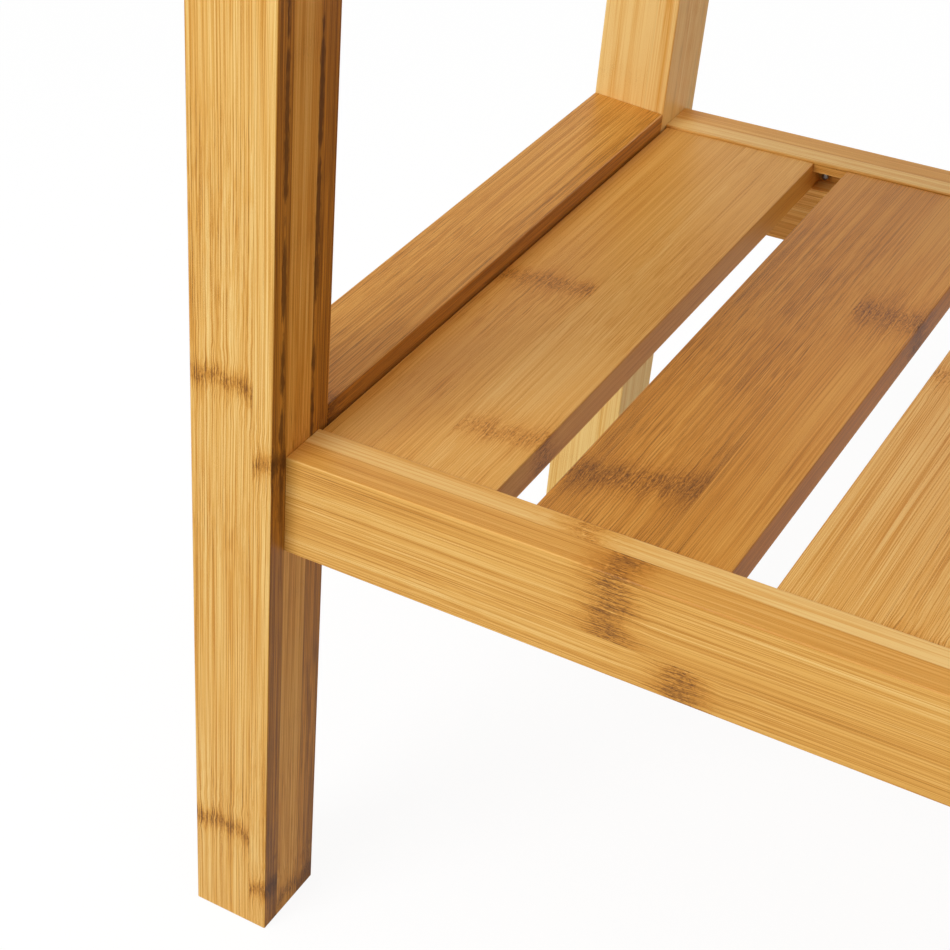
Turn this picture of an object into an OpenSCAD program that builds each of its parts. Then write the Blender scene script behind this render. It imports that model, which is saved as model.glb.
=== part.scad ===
// Slatted bench with a lower shelf. Two leaning end frames carry a shelf and a seat of the same make:
// long rails with a groove along their inner faces, and slats whose tongues sit in the grooves.
// Origin: centre of the footprint, on the floor. X runs along the length, Y to the back, Z up.

/* [Bench] */
// Length over the feet, on the floor
bench_l = 760; // [560:1:1100]
// Depth over the legs
bench_d = 293; // [220:1:420]
// Height of the seat
seat_h = 450; // [340:1:560]
// Height of the shelf rails' top
shelf_h = 212; // [120:1:270]
// Lean of the legs, in degrees
splay = 5; // [0:0.5:9]

/* [Legs] */
// Width of a leg, square to its run
leg_w = 30; // [25:0.5:45]
// Depth of a leg, front to back
leg_d = 30; // [24:0.5:45]

/* [Rails] */
// Height of a long rail
rail_h = 37; // [30:0.5:55]
// Thickness of a long rail
rail_t = 18; // [15:0.5:24]
// Setback of a rail's outer face from the leg's face
rail_inset = 7.5; // [2:0.5:12]
// Depth of the groove that holds the slats
groove_d = 8.5; // [6:0.5:10]

/* [End boards] */
// Thickness of an end board
board_t = 18; // [16:0.5:24]
// Height of a shelf end board's inner edge above the rails
board_rise = 6.5; // [0:0.1:12]

/* [Slats] */
// Width of a slat
slat_w = 61.75; // [40:0.25:80]
// Thickness of a slat
slat_t = 11; // [9:0.1:14]
// Depth of a slat's face below the rails' top
slat_recess = 0.8; // [0:0.1:2]
// Thickness of the tongue, flush with the slat's underside
tongue_t = 7; // [5:0.1:8]
// Smallest gap between shelf slats
shelf_gap = 10; // [6:0.5:16]
// Smallest gap between seat slats
seat_gap = 5; // [4:0.5:10]

/* [Fastenings] */
// Diameter of a rail bolt's shank
bolt_dia = 6; // [5:0.5:8]
// Length of a rail bolt below its head
bolt_l = 60; // [50:1:80]
// Diameter of a rail bolt's head
bolt_head_dia = 12; // [10:0.5:14]
// Height of a rail bolt's head
bolt_head_h = 3.5; // [3:0.1:4.5]
// Width across the flats of the key socket
socket_af = 4; // [3:0.5:5]
// Depth of the key socket
socket_d = 2.4; // [1.5:0.1:2.6]
// Depth from the leg's face to the seat of the bolt's head
counterbore_d = 5.5; // [4:0.5:8]
// Diameter of a barrel nut
nut_dia = 10; // [9:0.5:12]
// Length of a barrel nut
nut_l = 10; // [8:0.5:11]
// Distance from the rail's end to the barrel nut's axis
nut_reach = 28; // [20:0.5:32]
// Wood left between the groove and a barrel nut
nut_wall = 3.7; // [2:0.1:5]
// Diameter of a dowel
dowel_dia = 6; // [5:0.5:6.5]
// Length of a dowel
dowel_l = 24; // [20:1:28]
// Distance between the two dowels at an end board's end
dowel_pitch = 12; // [9:0.5:14]
// Diameter of a groove brad's shank
brad_dia = 1.6; // [1.2:0.1:2]
// Diameter of a groove brad's head
brad_head_dia = 2.8; // [2.2:0.1:3.4]
// Distance of a brad from the edge of its slat
brad_offset = 3.1; // [2.6:0.1:3.2]
// Length of a groove brad, head included
brad_l = 10; // [8:0.5:11]
// Height that a brad's head stands proud of the groove's floor
brad_proud = 4; // [2:0.5:5]

/* [Clearances] */
// Gap between the end slats and the legs
end_clear = 0.5; // [0.3:0.1:1.5]
// Gap between a slat's shoulder and the rail
shoulder_clear = 0.2; // [0.1:0.1:0.5]
// Gap above a tongue in its groove
tongue_clear = 0.2; // [0.1:0.1:0.5]
// Gap between a tongue's end and the groove's floor
tongue_end_clear = 0.7; // [0.3:0.1:1.5]
// Amount that a hole is wider than the dowel, nut or brad in it
fit_clear = 0.1; // [0.05:0.05:0.3]
// Amount that a bolt's hole is wider than the bolt
bolt_clear = 0.6; // [0.3:0.1:1]
// Depth of a blind hole beyond the end of what is in it
end_room = 1; // [0.5:0.5:2]

/* [Hidden] */
$fn = 48;
hex_sides = 6;
cut_past = 1;
brad_head_h = 1;
nut_slot_w = 1.2;
nut_slot_d = 1.2;

lean = tan(splay);
leg_run = leg_w / cos(splay);
front_y = -bench_d / 2;
rail_y = front_y + rail_inset;
rail_mid_y = rail_y + rail_t / 2;
rail_inner_y = rail_y + rail_t;
board_end_y = front_y + leg_d;
slat_bottom_drop = slat_recess + slat_t;
tongue_l = groove_d + shoulder_clear - tongue_end_clear;
socket_dia = socket_af / cos(180 / hex_sides);
board_top_z = shelf_h + board_rise;

// Depths of the bolts' and dowels' axes below a rail's top: the nut clears the groove, and the dowel
// is half-way between the bolt's hole and the rail's lower edge
bolt_drop = slat_bottom_drop + nut_wall + nut_dia / 2;
dowel_drop = (bolt_drop + (bolt_dia + bolt_clear) / 2 + rail_h) / 2;

// Distance from the middle of the bench to a leg's outer and inner faces, at a height
function outer_x(z) = bench_l / 2 - z * lean;
function inner_x(z) = outer_x(z) - leg_run;

// Half the length that a row of slats fills, its number of slats, and the distance from slat to slat
function row_half(top) = inner_x(top - slat_recess) - end_clear;
function row_count(top, gap) = floor((2 * row_half(top) + gap) / (slat_w + gap));
function row_pitch(top, count) = (2 * row_half(top) - slat_w) / (count - 1);

shelf_slats = row_count(shelf_h, shelf_gap);
seat_slats = row_count(seat_h, seat_gap);
shelf_pitch = row_pitch(shelf_h, shelf_slats);
seat_pitch = row_pitch(seat_h, seat_slats);

// Everything below is drawn for the front left corner or the front rail, and mirrored to its place

// Mirrors its children from the front left corner to one of the four corners
module at_corner(right, back) {
    mirror([right, 0, 0])
        mirror([0, back, 0])
            children();
}

// Copies its children to all four corners
module at_corners() {
    for (right = [0, 1])
        for (back = [0, 1])
            at_corner(right, back)
                children();
}

// An outline in the X-Z plane, carried along Y from one depth to another
module along_y(from, to) {
    translate([0, to, 0])
        rotate([90, 0, 0])
            linear_extrude(to - from)
                children();
}

// A round bar along X, from one X to another
module bar_x(from, to, y, z, dia, sides = $fn) {
    translate([from, y, z])
        rotate([0, 90, 0])
            cylinder(h = to - from, d = dia, $fn = sides);
}

// A round bar along Y, from one Y to another
module bar_y(from, to, x, z, dia) {
    translate([x, from, z])
        rotate([-90, 0, 0])
            cylinder(h = to - from, d = dia);
}

// Places along a rail's end at one tier: where the rail meets the leg, and where the bolt's head seats
function rail_end_x(top) = -inner_x(top - bolt_drop);
function head_seat_x(top) = -outer_x(top - bolt_drop) + counterbore_d;
function nut_x(top) = rail_end_x(top) + nut_reach;
function dowel_x(top) = -inner_x(top - dowel_drop);

// Holes for a tier's bolt, barrel nut and dowel, through the leg and into the rail
module rail_fastening_holes(top) {
    bolt_z = top - bolt_drop;
    seat_x = head_seat_x(top);
    bar_x(seat_x - cut_past, seat_x + bolt_l + end_room, rail_mid_y, bolt_z, bolt_dia + bolt_clear);
    bar_x(-outer_x(0), seat_x, rail_mid_y, bolt_z, bolt_head_dia + bolt_clear);
    half_dowel = dowel_l / 2 + end_room;
    dowel_at = dowel_x(top);
    bar_x(dowel_at - half_dowel, dowel_at + half_dowel, rail_mid_y, top - dowel_drop, dowel_dia + fit_clear);
}

// Hole for the barrel nut, from the rail's inner face
module nut_hole(top) {
    nut_floor = rail_mid_y - nut_l / 2;
    bar_y(nut_floor, rail_inner_y + cut_past, nut_x(top), top - bolt_drop, nut_dia + fit_clear);
}

// Middle of an end board's section, in X and Z: the shelf's board is square to the legs, the seat's is level
function shelf_board_mid() = [
    -inner_x(board_top_z) - (leg_w * cos(splay) + board_t * sin(splay)) / 2,
    board_top_z + (leg_w * sin(splay) - board_t * cos(splay)) / 2
];
function seat_board_mid() = [
    -inner_x(seat_h - board_t / 2) - leg_run / 2,
    seat_h - board_t / 2
];

// Two dowels, or their holes, at the front end of an end board
module board_dowel_pair(mid, half, dia) {
    for (side = [-1, 1])
        bar_y(board_end_y - half, board_end_y + half, mid[0] + side * dowel_pitch / 2, mid[1], dia);
}

module board_dowel_holes() {
    half = dowel_l / 2 + end_room;
    board_dowel_pair(shelf_board_mid(), half, dowel_dia + fit_clear);
    board_dowel_pair(seat_board_mid(), half, dowel_dia + fit_clear);
}

// A leg, leaning in along the length as it rises, cut level at the floor and at the seat
module leg(right, back) {
    color("#e2b46c")
        at_corner(right, back)
            difference() {
                along_y(front_y, front_y + leg_d)
                    polygon([
                        [-outer_x(0), 0],
                        [-inner_x(0), 0],
                        [-inner_x(seat_h), seat_h],
                        [-outer_x(seat_h), seat_h]
                    ]);
                rail_fastening_holes(shelf_h);
                rail_fastening_holes(seat_h);
                board_dowel_holes();
            }
}

// Distance of a brad along the rail from the middle of the bench, for the gap after slat i
function brad_x(i, count, pitch) = (i - (count + 1) / 2) * pitch + slat_w / 2 + brad_offset;

// Brads in the front rail's groove, or with fit the holes for them
module brad_row(top, count, pitch, fit = 0) {
    floor_y = rail_inner_y - groove_d;
    brad_z = top - slat_bottom_drop + (tongue_t + tongue_clear) / 2;
    head_y = floor_y + brad_proud - brad_head_h;
    tip_y = floor_y + brad_proud - brad_l;
    for (i = [1 : count - 1]) {
        x = brad_x(i, count, pitch);
        bar_y(tip_y, head_y, x, brad_z, brad_dia + fit);
        if (fit == 0)
            bar_y(head_y, head_y + brad_head_h, x, brad_z, brad_head_dia);
    }
}

// A long rail, its ends cut to the legs' lean, with a groove along the inner face
module rail(top, back, count, pitch) {
    bottom = top - rail_h;
    groove_half = inner_x(bottom) + cut_past;
    color("#dfab5c")
        at_corner(0, back)
            difference() {
                along_y(rail_y, rail_inner_y)
                    polygon([
                        [-inner_x(top), top],
                        [-inner_x(bottom), bottom],
                        [inner_x(bottom), bottom],
                        [inner_x(top), top]
                    ]);
                translate([-groove_half, rail_inner_y - groove_d, top - slat_bottom_drop])
                    cube([2 * groove_half, groove_d + cut_past, tongue_t + tongue_clear]);
                for (right = [0, 1])
                    at_corner(right, 0) {
                        rail_fastening_holes(top);
                        nut_hole(top);
                    }
                brad_row(top, count, pitch, fit_clear);
            }
}

// A slat with a bare-faced tongue at each end, flush with its underside
module slat(top, i, count, pitch) {
    half_w = slat_w / 2;
    middle_x = (i - (count + 1) / 2) * pitch;
    shoulder_y = -rail_inner_y - shoulder_clear;
    bottom = top - slat_bottom_drop;
    color(i % 2 == 0 ? "#bd8749" : "#cd9a58") {
        translate([middle_x - half_w, -shoulder_y, bottom])
            cube([slat_w, 2 * shoulder_y, slat_t]);
        translate([middle_x - half_w, -shoulder_y - tongue_l, bottom])
            cube([slat_w, 2 * (shoulder_y + tongue_l), tongue_t]);
    }
}

// The shelf's end board, as wide as the legs and square to them, standing above the rails
module shelf_end_board(right) {
    mid = shelf_board_mid();
    color("#b9854a")
        at_corner(right, 0)
            difference() {
                along_y(board_end_y, -board_end_y)
                    translate(mid)
                        rotate(-splay)
                            square([leg_w, board_t], center = true);
                for (back = [0, 1])
                    at_corner(0, back)
                        board_dowel_holes();
            }
}

// The seat's end board, level and flush with the rails, its edges in line with the legs' faces
module seat_end_board(right) {
    bottom = seat_h - board_t;
    color("#b9854a")
        at_corner(right, 0)
            difference() {
                along_y(board_end_y, -board_end_y)
                    polygon([
                        [-outer_x(bottom), bottom],
                        [-inner_x(bottom), bottom],
                        [-inner_x(seat_h), seat_h],
                        [-outer_x(seat_h), seat_h]
                    ]);
                for (back = [0, 1])
                    at_corner(0, back)
                        board_dowel_holes();
            }
}

// Bolts with a wide flat head and a hexagonal key socket
module rail_bolts(top) {
    seat_x = head_seat_x(top);
    head_x = seat_x - bolt_head_h;
    bolt_z = top - bolt_drop;
    color("silver")
        at_corners()
            difference() {
                union() {
                    bar_x(seat_x, seat_x + bolt_l, rail_mid_y, bolt_z, bolt_dia);
                    bar_x(head_x, seat_x, rail_mid_y, bolt_z, bolt_head_dia);
                }
                bar_x(head_x - cut_past, head_x + socket_d, rail_mid_y, bolt_z, socket_dia, hex_sides);
            }
}

// Barrel nuts, cross-drilled for the bolts, with a screwdriver slot to turn them in line
module barrel_nuts(top) {
    nut_z = top - bolt_drop;
    nut_end_y = rail_mid_y + nut_l / 2;
    color("silver")
        at_corners()
            difference() {
                bar_y(rail_mid_y - nut_l / 2, nut_end_y, nut_x(top), nut_z, nut_dia);
                bar_x(nut_x(top) - nut_dia, nut_x(top) + nut_dia, rail_mid_y, nut_z, bolt_dia + fit_clear);
                translate([nut_x(top) - nut_dia, nut_end_y - nut_slot_d, nut_z - nut_slot_w / 2])
                    cube([2 * nut_dia, nut_slot_d + cut_past, nut_slot_w]);
            }
}

// Dowels that stop a rail turning on its bolts
module rail_dowels(top) {
    dowel_at = dowel_x(top);
    color("#e8cf9a")
        at_corners()
            bar_x(dowel_at - dowel_l / 2, dowel_at + dowel_l / 2, rail_mid_y, top - dowel_drop, dowel_dia);
}

// Dowels that join the end boards to the legs
module board_dowels(mid) {
    color("#e8cf9a")
        at_corners()
            board_dowel_pair(mid, dowel_l / 2, dowel_dia);
}

// Brads in both rails' grooves, one beside each gap, that stop the slats sliding along
module groove_brads(top, count, pitch) {
    color("#9a9690")
        for (back = [0, 1])
            at_corner(0, back)
                brad_row(top, count, pitch);
}

leg(0, 0);  // leg_front_left
leg(1, 0);  // leg_front_right
leg(0, 1);  // leg_back_left
leg(1, 1);  // leg_back_right
rail(shelf_h, 0, shelf_slats, shelf_pitch);  // shelf_rail_front
rail(shelf_h, 1, shelf_slats, shelf_pitch);  // shelf_rail_back
shelf_end_board(0);  // shelf_end_board_left
shelf_end_board(1);  // shelf_end_board_right
for (i = [1 : shelf_slats])
    slat(shelf_h, i, shelf_slats, shelf_pitch);
rail(seat_h, 0, seat_slats, seat_pitch);  // seat_rail_front
rail(seat_h, 1, seat_slats, seat_pitch);  // seat_rail_back
seat_end_board(0);  // seat_end_board_left
seat_end_board(1);  // seat_end_board_right
for (i = [1 : seat_slats])
    slat(seat_h, i, seat_slats, seat_pitch);
rail_bolts(shelf_h);  // shelf_rail_bolts
barrel_nuts(shelf_h);  // shelf_barrel_nuts
rail_dowels(shelf_h);  // shelf_rail_dowels
board_dowels(shelf_board_mid());  // shelf_board_dowels
groove_brads(shelf_h, shelf_slats, shelf_pitch);  // shelf_groove_brads
rail_bolts(seat_h);  // seat_rail_bolts
barrel_nuts(seat_h);  // seat_barrel_nuts
rail_dowels(seat_h);  // seat_rail_dowels
board_dowels(seat_board_mid());  // seat_board_dowels
groove_brads(seat_h, seat_slats, seat_pitch);  // seat_groove_brads
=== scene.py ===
"""Looks of a slatted bamboo bench with a lower shelf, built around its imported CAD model.

Lengths are in metres, but for a figure's, which are in millimetres. Places come from the CAD nodes'
boxes; sizes that no box shows, such as an arris or a groove, are dataclass fields. Timber is an
outline carried along a line, with rounded arrises, drilled for its fastenings, and it carries its own
grain coordinates for the finish.
"""
import logging
import math
from dataclasses import dataclass, field, replace
from enum import Enum
from functools import reduce
from typing import Callable, Sequence, Union

import bmesh
import bpy
import numpy as np
from mathutils import Matrix, Vector


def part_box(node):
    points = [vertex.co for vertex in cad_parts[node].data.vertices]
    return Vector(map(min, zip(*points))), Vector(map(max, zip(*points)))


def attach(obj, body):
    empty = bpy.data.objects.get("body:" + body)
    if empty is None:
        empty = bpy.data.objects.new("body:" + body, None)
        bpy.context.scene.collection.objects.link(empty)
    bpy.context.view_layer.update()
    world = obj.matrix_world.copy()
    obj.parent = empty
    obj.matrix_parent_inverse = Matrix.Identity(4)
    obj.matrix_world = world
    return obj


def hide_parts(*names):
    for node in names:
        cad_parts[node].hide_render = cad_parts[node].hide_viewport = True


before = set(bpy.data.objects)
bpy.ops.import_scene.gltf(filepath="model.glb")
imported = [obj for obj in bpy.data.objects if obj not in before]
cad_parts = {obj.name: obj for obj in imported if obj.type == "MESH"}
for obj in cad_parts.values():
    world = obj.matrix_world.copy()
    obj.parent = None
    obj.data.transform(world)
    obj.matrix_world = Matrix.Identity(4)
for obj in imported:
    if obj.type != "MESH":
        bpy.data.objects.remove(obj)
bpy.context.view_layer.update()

BODY = "root"
MM = 0.001
FIRST_SEED = 7000
SAME_POINT = 1e-7

Array = np.ndarray
Thing = bpy.types.Object
Mesh = bpy.types.Mesh
Material = bpy.types.Material
Tree = bpy.types.NodeTree
Triple = tuple[float, float, float]
Value = Union[float, "Wire"]
Along = Callable[[Array, Array], Array]
Pattern = Callable[[Array], Array]

log = logging.getLogger("bench")


class Tier(Enum):
    """The two slatted levels."""

    SHELF = "shelf"
    SEAT = "seat"


class Axis(Enum):
    """Axes, by their place in a vector."""

    X = 0
    Y = 1


# Surfaces --------------------------------------------------------------------------------------


@dataclass
class Surface:
    """A mesh as arrays: points of shape (n, 3), and faces as lists of point numbers."""

    points: Array
    faces: list[list[int]]

    def joined(self, other: "Surface") -> "Surface":
        """Returns this surface and another as one."""
        shift = len(self.points)
        moved = [[corner + shift for corner in face] for face in other.faces]
        return Surface(np.vstack([self.points, other.points]), self.faces + moved)

    def mirrored(self, axis: Axis) -> "Surface":
        """Returns the surface mirrored across an axis's middle plane, its faces still outward."""
        points = self.points.copy()
        points[:, axis.value] *= -1
        return Surface(points, [face[::-1] for face in self.faces])

    def reordered(self, *order: int) -> "Surface":
        """Returns the surface with its coordinates taken in another order."""
        return Surface(self.points[:, list(order)], self.faces)


@dataclass
class Outline:
    """A closed outline, taken anticlockwise, whose corners are rounded as it is carried.

    radii holds each outward corner's radius, or one for all, and hollow_radius is that of the
    corners that point inwards.
    """

    corners: Sequence[Sequence[float]]
    radii: Union[float, Sequence[float]]
    hollow_radius: float = 0.3 * MM
    least_radius: float = 0.02 * MM
    steps: int = 4

    def points(self, inset: float) -> Array:
        """Works out the rounded outline, drawn in by an even distance.

        A corner moves in along its mitre, which is the sum of its two edges' unit normals over one
        plus their dot product. The arc's centre lies on the mitre too, its radius away from both
        edges: inside the outline at an outward corner, and outside at a hollow one. Its points lie
        along the normals turned evenly from one edge's to the next's. Drawing in shrinks an outward
        arc and widens a hollow one by the same distance.

        Args:
            inset: How far the outline is drawn in.

        Returns:
            The outline's points, of shape (n, 2).
        """
        at = np.asarray(self.corners, float)
        edge = np.roll(at, -1, axis=0) - at
        edge /= np.linalg.norm(edge, axis=1, keepdims=True)
        after = np.stack([edge[:, 1], -edge[:, 0]], axis=1)
        before = np.roll(after, 1, axis=0)
        earlier = np.roll(edge, 1, axis=0)
        bulges = (earlier[:, 0] * edge[:, 1] - earlier[:, 1] * edge[:, 0]) > 0
        outward = np.maximum(np.broadcast_to(self.radii, len(at)) - inset, self.least_radius)
        size = np.where(bulges, outward, self.hollow_radius + inset)[:, None]
        sign = np.where(bulges, 1.0, -1.0)[:, None]
        mitre = (before + after) / (1 + np.sum(before * after, axis=1, keepdims=True))
        centre = at - (inset + sign * size) * mitre
        share = np.linspace(0, 1, self.steps + 1)[None, :, None]
        normal = before[:, None, :] * (1 - share) + after[:, None, :] * share
        normal /= np.linalg.norm(normal, axis=2, keepdims=True)
        points = centre[:, None, :] + (sign * size)[:, None, :] * normal
        return points.reshape(-1, 2)


def rectangle(low_a: float, low_b: float, high_a: float, high_b: float) -> list[tuple[float, float]]:
    """Returns a rectangle's corners, anticlockwise."""
    return [(low_a, low_b), (high_a, low_b), (high_a, high_b), (low_a, high_b)]


def quarter(radius: float, steps: int = 4) -> list[tuple[float, float]]:
    """Returns the points of a rim, each as how far along it is and how far it is drawn in.

    At an angle that runs from 0 to 90 degrees they are the radius times one minus its cosine, and
    the radius times one minus its sine.
    """
    angles = np.linspace(0, math.pi / 2, steps + 1)
    return [(radius * (1 - math.cos(angle)), radius * (1 - math.sin(angle))) for angle in angles]


def level(distance: float) -> Along:
    """Returns an end face that is square to the run, at a distance."""
    return lambda a, b: 0 * a + distance


def carried(outline: Outline, start: Along, end: Along, ease: float, steps: int = 4) -> Surface:
    """Carries an outline from one end face to the other, with both rims eased to quarter circles.

    A point's distance is the end face's own value there, so that an end face may slant, plus how far
    along the rim it is, while the outline is drawn in as the rim is.

    Args:
        outline: The outline, as (a, b) points.
        start: Gives the start face's distance at arrays a, b.
        end: Gives the end face's distance at arrays a, b.
        ease: Radius of the eased rims.
        steps: Stretches in each rim.

    Returns:
        A closed surface whose points are (a, b, distance).
    """
    near, far = [], []
    for lift, inset in quarter(ease, steps):
        flat = outline.points(inset)
        near.append(np.column_stack([flat, start(*flat.T) + lift]))
        far.append(np.column_stack([flat, end(*flat.T) - lift]))
    return stitched(np.stack(near + far[::-1]))


def stitched(rings: Array) -> Surface:
    """Joins rings of equal count into a skin, with a face across each end.

    Args:
        rings: Points of shape (rings, round, 3).

    Returns:
        The closed surface.
    """
    count, around = rings.shape[:2]
    number = np.arange(count * around).reshape(count, around)
    nearby = np.roll(number, -1, axis=1)
    quads = np.stack([number[:-1], nearby[:-1], nearby[1:], number[1:]], axis=-1).reshape(-1, 4)
    return Surface(rings.reshape(-1, 3), [*quads.tolist(), number[0][::-1].tolist(), number[-1].tolist()])


def fluted(angle: Array) -> Array:
    """Share of the radius round a dowel with twelve shallow flutes: one less a raised cosine."""
    return 1 - 0.09 * (0.5 + 0.5 * np.cos(12 * angle)) ** 3


def six_sided(angle: Array) -> Array:
    """Share of the half-width round a hexagon: one over the cosine of the angle from a side's middle."""
    sixth = math.pi / 3
    return 1 / np.cos(np.mod(angle, sixth) - sixth / 2)


def turned(profile: Sequence[Sequence[float]], sides: int = 40, pattern: Pattern = fluted) -> Surface:
    """Turns a profile about the first axis into a closed bar.

    A point at angle t has the profile's radius r times one less k, plus r times k times the
    pattern's share at t. So k runs from a round section to a patterned one along the bar.

    Args:
        profile: (distance, radius) or (distance, radius, k) from one end to the other. Without k,
            the section is round.
        sides: Stretches round the bar.
        pattern: Gives the share of the radius at an array of angles.

    Returns:
        The closed surface along X, centred on the axis.
    """
    distance, radius, share = (column[:, None] for column in np.array([(*p, 0.0)[:3] for p in profile]).T)
    angle = np.linspace(0, 2 * math.pi, sides, endpoint=False)
    radius = radius * (share * pattern(angle) + 1 - share)
    along = np.broadcast_to(distance, radius.shape)
    return stitched(np.stack([along, radius * np.cos(angle), radius * np.sin(angle)], axis=-1))


def rod(length: float, radius: float, sides: int = 24) -> Surface:
    """Turns a plain round bar that runs from the middle along X."""
    return turned([(0, radius), (length, radius)], sides)


def threaded(length: float, radius: float, pitch: float, depth: float) -> Surface:
    """Cuts a screw thread on a bar along X.

    The surface is a grid of distance x against angle t. Its radius falls by depth times a triangle
    wave of x over pitch minus t over a full turn, which is a single-start thread, and the wave dies
    away over the last pitch at either end, where the bar is down to its core.

    Args:
        length: The thread's length.
        radius: Outer radius.
        pitch: Distance from crest to crest.
        depth: Depth of the thread.

    Returns:
        The closed surface, from the middle along X.
    """
    around, steps = 24, 8
    distance = np.linspace(0, length, int(round(length / pitch * steps)) + 1)[:, None]
    angle = np.linspace(0, 2 * math.pi, around, endpoint=False)
    turn = distance / pitch - angle / (2 * math.pi)
    wave = np.abs(2 * (turn - np.floor(turn)) - 1)
    fade = np.clip(np.minimum(distance, length - distance) / pitch, 0, 1)
    reach = radius - depth * (1 - fade) - depth * wave * fade
    along = np.broadcast_to(distance, reach.shape)
    return stitched(np.stack([along, reach * np.cos(angle), reach * np.sin(angle)], axis=-1))


def placed(surface: Surface, start: Sequence[float], axis: Axis) -> Surface:
    """Moves a surface that was made along X, after a quarter turn where it is to run along Y.

    Args:
        surface: The surface.
        start: Where its own origin goes.
        axis: What its X becomes.

    Returns:
        The moved surface.
    """
    points = surface.points
    if axis is Axis.Y:
        points = points[:, [1, 0, 2]] * (-1, 1, 1)
    return Surface(points + np.asarray(start, float), surface.faces)


def at_rows(surface: Surface) -> Surface:
    """Copies a surface from the front to the back."""
    return surface.joined(surface.mirrored(Axis.Y))


def at_corners(surface: Surface) -> Surface:
    """Copies a surface from the front left corner to all four."""
    both = at_rows(surface)
    return both.joined(both.mirrored(Axis.X))


# Meshes ----------------------------------------------------------------------------------------


def to_object(name: str, surface: Surface) -> Thing:
    """Makes a mesh object of a surface, at the origin, with its normals made to agree.

    Args:
        name: The object's name.
        surface: The surface.

    Returns:
        The object.
    """
    mesh = bpy.data.meshes.new(name)
    mesh.from_pydata(surface.points.tolist(), [], surface.faces)
    mesh.validate()
    maker = bmesh.new()
    maker.from_mesh(mesh)
    bmesh.ops.remove_doubles(maker, verts=maker.verts, dist=SAME_POINT)
    bmesh.ops.recalc_face_normals(maker, faces=maker.faces)
    maker.to_mesh(mesh)
    maker.free()
    return linked(name, mesh)


def linked(name: str, data: bpy.types.ID) -> Thing:
    """Makes an object of a mesh, a lamp or a lens, and puts it in the scene."""
    thing = bpy.data.objects.new(name, data)
    bpy.context.scene.collection.objects.link(thing)
    return thing


def drill(thing: Thing, cutters: Sequence[Surface]) -> None:
    """Cuts holes in an object, one for each cutter, and leaves no cutter behind.

    Args:
        thing: The object.
        cutters: Closed surfaces to take away.
    """
    bits = [to_object(f"bit_{number}", cutter) for number, cutter in enumerate(cutters)]
    for bit in bits:
        cut = thing.modifiers.new(bit.name, "BOOLEAN")
        cut.operation = "DIFFERENCE"
        cut.solver = "EXACT"
        cut.object = bit
    graph = bpy.context.evaluated_depsgraph_get()
    drilled = bpy.data.meshes.new_from_object(thing.evaluated_get(graph))
    thing.modifiers.clear()
    spent = [thing.data] + [bit.data for bit in bits]
    thing.data = drilled
    for bit in bits:
        bpy.data.objects.remove(bit)
    for mesh in spent:
        bpy.data.meshes.remove(mesh)


def dress(thing: Thing, finish: Material, node: str, crease_degrees: float) -> None:
    """Shades and dresses a piece, rides it on the bench and puts it in its CAD node's place.

    It is smooth between its creases, and its broad faces are kept flat.

    Args:
        thing: The piece.
        finish: Its material.
        node: The CAD node that it stands for.
        crease_degrees: The least angle that shows as a crease.
    """
    mesh = thing.data
    mesh.polygons.foreach_set("use_smooth", np.ones(len(mesh.polygons), bool))
    mesh.set_sharp_from_angle(angle=math.radians(crease_degrees))
    weighted = thing.modifiers.new("broad_faces_first", "WEIGHTED_NORMAL")
    weighted.keep_sharp = True
    weighted.weight = 100
    mesh.materials.clear()
    mesh.materials.append(finish)
    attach(thing, BODY)
    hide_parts(node)
    log.info("%-32s %6d faces", thing.name, len(mesh.polygons))


def give_vector(mesh: Mesh, name: str, *values: Union[float, Array]) -> None:
    """Stores a vector at every point of a mesh.

    Args:
        mesh: The mesh.
        name: The name that the finish reads.
        *values: The vector's three parts, each one number or an array with one for every point.
    """
    layer = mesh.attributes.new(name, "FLOAT_VECTOR", "POINT")
    whole = np.broadcast_to(np.column_stack(np.atleast_1d(*values)), (len(mesh.vertices), 3))
    layer.data.foreach_set("vector", whole.ravel())


# Bamboo's own figure ---------------------------------------------------------------------------


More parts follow.
